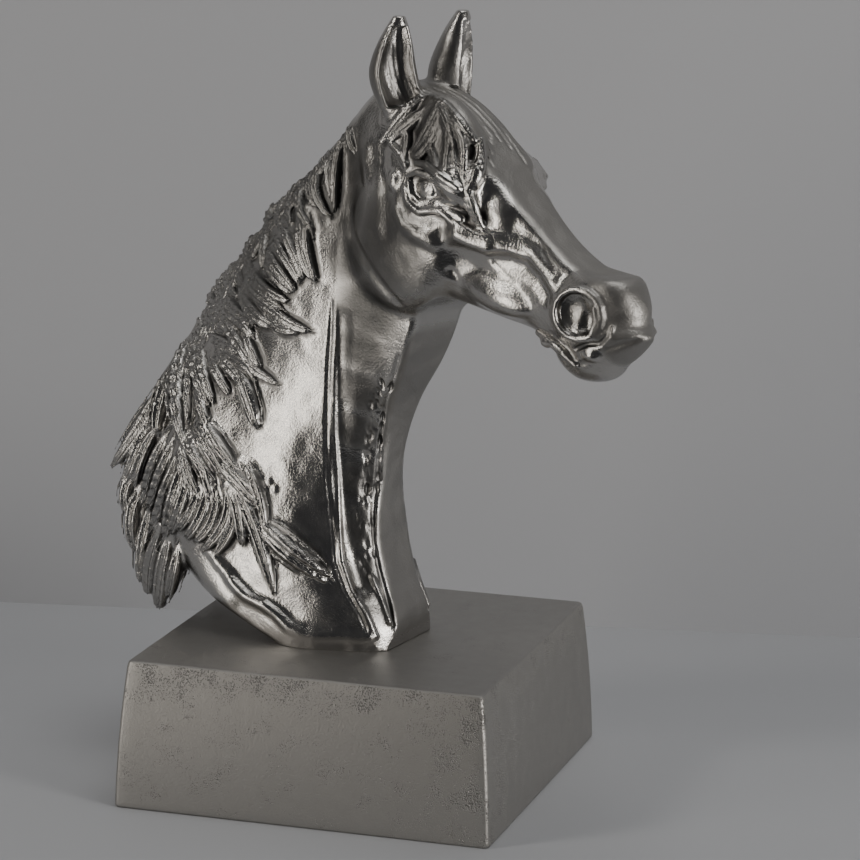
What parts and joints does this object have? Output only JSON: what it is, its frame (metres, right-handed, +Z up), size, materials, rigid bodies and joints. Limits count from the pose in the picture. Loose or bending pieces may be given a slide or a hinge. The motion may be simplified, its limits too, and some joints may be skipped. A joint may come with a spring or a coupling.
{
  "type": "horse head figurine",
  "caption": "Cast horse head and neck with a layered mane, head turned to one side, standing on a square metal plinth as a table ornament.",
  "frame": {"origin": "middle of the plinth's underside, on the surface that the ornament stands on", "axes": "+Z up; +X is the way the horse's neck faces along the plinth; +Y is to the horse's left, away from the side that its head turns to"},
  "size_m": [0.2629, 0.1696, 0.3263],
  "materials": {
    "polished_cast": "nickel plated and polished bright, with fine cast grain left in the hollows and a satin ground strip down the face and the front of the neck",
    "satin_cast": "satin, sand cast, lightly brushed level, with small cast pits near the top edge"
  },
  "bodies": {
    "root": {"horse_head": "polished_cast", "plinth": "satin_cast"}
  },
  "joints": []
}
